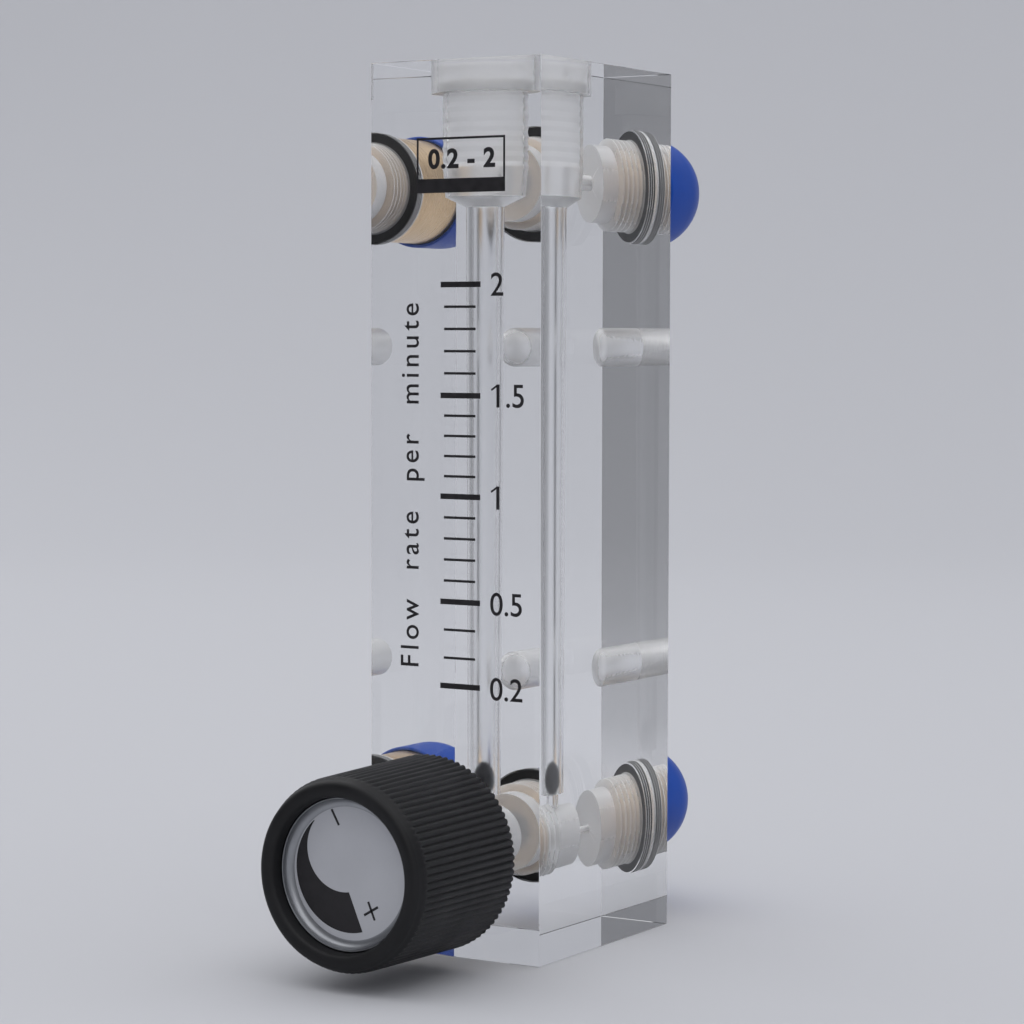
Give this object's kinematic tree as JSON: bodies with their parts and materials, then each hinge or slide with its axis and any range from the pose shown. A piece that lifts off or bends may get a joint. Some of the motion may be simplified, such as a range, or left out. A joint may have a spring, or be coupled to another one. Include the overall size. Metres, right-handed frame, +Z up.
{
  "type": "rotameter",
  "caption": "Clear block flow meter: tapered bore with a ball float, a ribbed needle valve knob in front and capped hose ports behind.",
  "frame": {"origin": "middle of the block's underside", "axes": "+Z up along the bore, -Y out of the front face with the knob and the scale, +X to the right of one who reads it"},
  "size_m": [0.025, 0.0817, 0.112],
  "materials": {
    "clear_acrylic": "clear, polished",
    "plug_acrylic": "clear, turned",
    "rubber_black": "satin",
    "silicone_clear": "soft, translucent",
    "float_black": "polished black",
    "brass": "turned",
    "stem_steel": "turned",
    "cap_blue": "soft gloss",
    "knob_black": "moulded",
    "dish_silver": "satin",
    "screw_black": "black oxide",
    "washer_white": "plain"
  },
  "bodies": {
    "meter": {"body_block": "clear_acrylic", "top_plug": "plug_acrylic", "plug_seal": "silicone_clear", "inlet_fitting": "brass", "outlet_fitting": "brass", "inlet_seal": "rubber_black", "outlet_seal": "rubber_black", "valve_bushing": "brass", "bushing_seal": "rubber_black", "gland_washer": "washer_white", "gland_nut": "brass"},
    "needle_carriage": {"stem_seal": "rubber_black"},
    "knob_and_stem": {"valve_stem": "stem_steel", "knob": "knob_black", "knob_bush": "brass", "knob_insert": "dish_silver", "knob_screw": "screw_black"},
    "float": {"float_ball": "float_black"},
    "lower_cap": {"inlet_cap": "cap_blue"},
    "upper_cap": {"outlet_cap": "cap_blue"}
  },
  "joints": [
    {"name": "needle_lift", "type": "slide", "parent": "meter", "child": "needle_carriage", "axis": [0, -1, 0], "range_m": [0, 0.00375]},
    {"name": "knob_turn", "type": "hinge", "parent": "needle_carriage", "child": "knob_and_stem", "pos_m": [0, -0.0165, 0.014], "axis": [0, -1, 0], "range_deg": [0, 1800]},
    {"name": "float_rise", "type": "slide", "parent": "meter", "child": "float", "axis": [0, 0, 1], "range_m": [0, 0.0718]},
    {"name": "inlet_cap_pull", "type": "slide", "parent": "meter", "child": "lower_cap", "axis": [0, 1, 0], "range_m": [0, 0.025]},
    {"name": "outlet_cap_pull", "type": "slide", "parent": "meter", "child": "upper_cap", "axis": [0, 1, 0], "range_m": [0, 0.025]}
  ],
  "couplings": [
    {"joint": "needle_lift", "follows": "knob_turn", "m_per_rad": 0.00011936}
  ]
}
